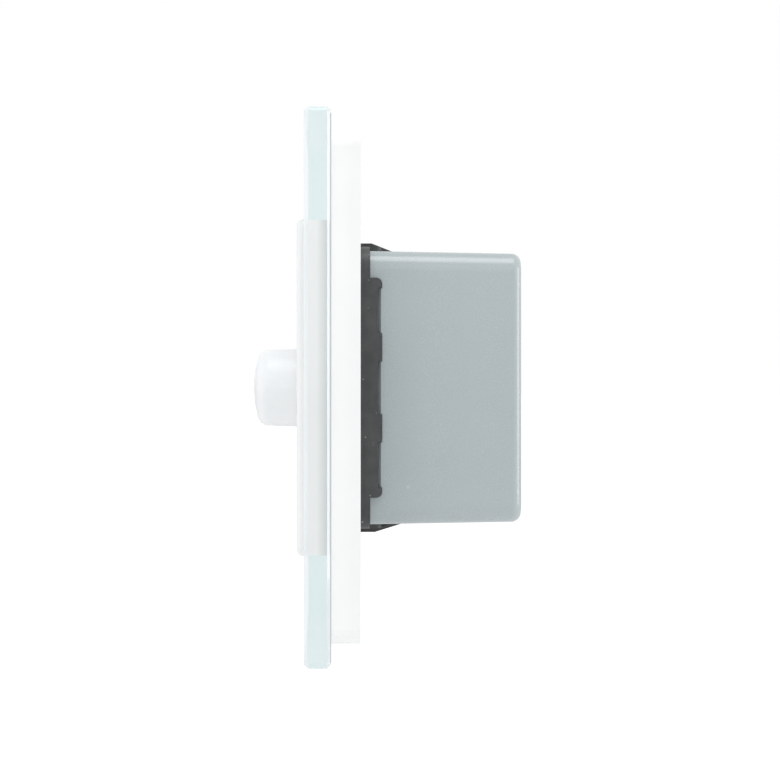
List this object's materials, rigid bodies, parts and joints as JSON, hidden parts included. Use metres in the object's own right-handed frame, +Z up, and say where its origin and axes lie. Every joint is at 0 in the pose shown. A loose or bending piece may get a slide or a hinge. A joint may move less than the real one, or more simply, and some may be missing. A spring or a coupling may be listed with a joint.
{
  "type": "motion sensor light switch",
  "caption": "Square glass-panel wall switch with a small milky motion sensor lens, white clip frame, black snap-in chassis, grey rear housing and screw terminals.",
  "frame": {"origin": "centre of the wall face, the plane where the yoke and the clip frame end", "axes": "front faces -Y, +Y goes into the wall box, +Z up, +X to the right seen from the front"},
  "size_m": [0.08, 0.0408, 0.08],
  "materials": {
    "tempered_glass": "clear tempered glass with a faint green-blue tint, polished edges",
    "white_film": "white bonding film",
    "white_plastic": "fine satin moulded white plastic",
    "milky_polyethylene": "milky translucent moulded polyethylene",
    "black_polycarbonate": "matt black moulded plastic",
    "grey_polycarbonate": "satin grey moulded plastic",
    "terminal_plastic": "satin grey moulded plastic, a shade darker",
    "galvanised_steel": "zinc-plated pressed sheet",
    "plated_steel": "nickel-plated steel",
    "brass": "plain brass",
    "silicon_filter": "dark coated silicon",
    "clear_acrylic": "clear moulded acrylic",
    "circuit_board": "green solder mask",
    "trimmer_blue": "blue moulded case",
    "yellow_case": "yellow moulded case",
    "black_sleeve": "black shrink sleeve",
    "disc_ceramic": "blue dipped coating",
    "fuse_ceramic": "white ceramic tube"
  },
  "bodies": {
    "module": {"face_plate": "white_plastic", "lens_retainer": "white_plastic", "pir_lens": "milky_polyethylene", "chassis": "black_polycarbonate", "board_header": "black_polycarbonate", "microcontroller": "black_polycarbonate", "bridge_rectifier": "black_polycarbonate", "rear_housing": "grey_polycarbonate", "terminal_block": "terminal_plastic", "steel_yoke": "galvanised_steel", "board_screws": "plated_steel", "pir_sensor_can": "plated_steel", "live_contact_bar": "brass", "neutral_contact_bar": "brass", "load_contact_bar": "brass", "pir_sensor_header": "brass", "pir_sensor_window": "silicon_filter", "led_light_guide": "clear_acrylic", "sensor_light_guide": "clear_acrylic", "indicator_led": "clear_acrylic", "light_sensor": "clear_acrylic", "sensor_board": "circuit_board", "power_board": "circuit_board", "time_trimmer_body": "trimmer_blue", "lux_trimmer_body": "trimmer_blue", "relay": "trimmer_blue", "film_capacitor": "yellow_case", "electrolytic_capacitor": "black_sleeve", "choke": "black_sleeve", "varistor": "disc_ceramic", "fuse": "fuse_ceramic"},
    "panel": {"glass_panel": "tempered_glass", "panel_backing_film": "white_film", "panel_clip_frame": "white_plastic"},
    "time_dial": {"time_trimmer_dial": "white_plastic"},
    "lux_dial": {"lux_trimmer_dial": "white_plastic"},
    "live_screw": {"live_terminal_screw": "plated_steel"},
    "live_cage": {"live_clamp_cage": "brass"},
    "neutral_screw": {"neutral_terminal_screw": "plated_steel"},
    "neutral_cage": {"neutral_clamp_cage": "brass"},
    "load_screw": {"load_terminal_screw": "plated_steel"},
    "load_cage": {"load_clamp_cage": "brass"}
  },
  "joints": [
    {"name": "panel_pull_off", "type": "slide", "parent": "module", "child": "panel", "axis": [0, -1, 0], "range_m": [0, 0.03]},
    {"name": "time_dial_turn", "type": "hinge", "parent": "module", "child": "time_dial", "pos_m": [-0.013, -0.009, -0.017], "axis": [0, -1, 0], "range_deg": [-135, 135]},
    {"name": "lux_dial_turn", "type": "hinge", "parent": "module", "child": "lux_dial", "pos_m": [0.013, -0.009, -0.017], "axis": [0, -1, 0], "range_deg": [-135, 135]},
    {"name": "live_screw_turn", "type": "hinge", "parent": "module", "child": "live_screw", "pos_m": [-0.009, 0.0155, -0.0177], "axis": [0, 0, 1], "range_deg": [0, 1800]},
    {"name": "live_cage_rise", "type": "slide", "parent": "module", "child": "live_cage", "axis": [0, 0, -1], "range_m": [0, 0.0025]},
    {"name": "neutral_screw_turn", "type": "hinge", "parent": "module", "child": "neutral_screw", "pos_m": [0, 0.0155, -0.0177], "axis": [0, 0, 1], "range_deg": [0, 1800]},
    {"name": "neutral_cage_rise", "type": "slide", "parent": "module", "child": "neutral_cage", "axis": [0, 0, -1], "range_m": [0, 0.0025]},
    {"name": "load_screw_turn", "type": "hinge", "parent": "module", "child": "load_screw", "pos_m": [0.009, 0.0155, -0.0177], "axis": [0, 0, 1], "range_deg": [0, 1800]},
    {"name": "load_cage_rise", "type": "slide", "parent": "module", "child": "load_cage", "axis": [0, 0, -1], "range_m": [0, 0.0025]}
  ],
  "couplings": [
    {"joint": "live_screw_turn", "follows": "live_cage_rise", "rad_per_m": 12566},
    {"joint": "neutral_screw_turn", "follows": "neutral_cage_rise", "rad_per_m": 12566},
    {"joint": "load_screw_turn", "follows": "load_cage_rise", "rad_per_m": 12566}
  ]
}
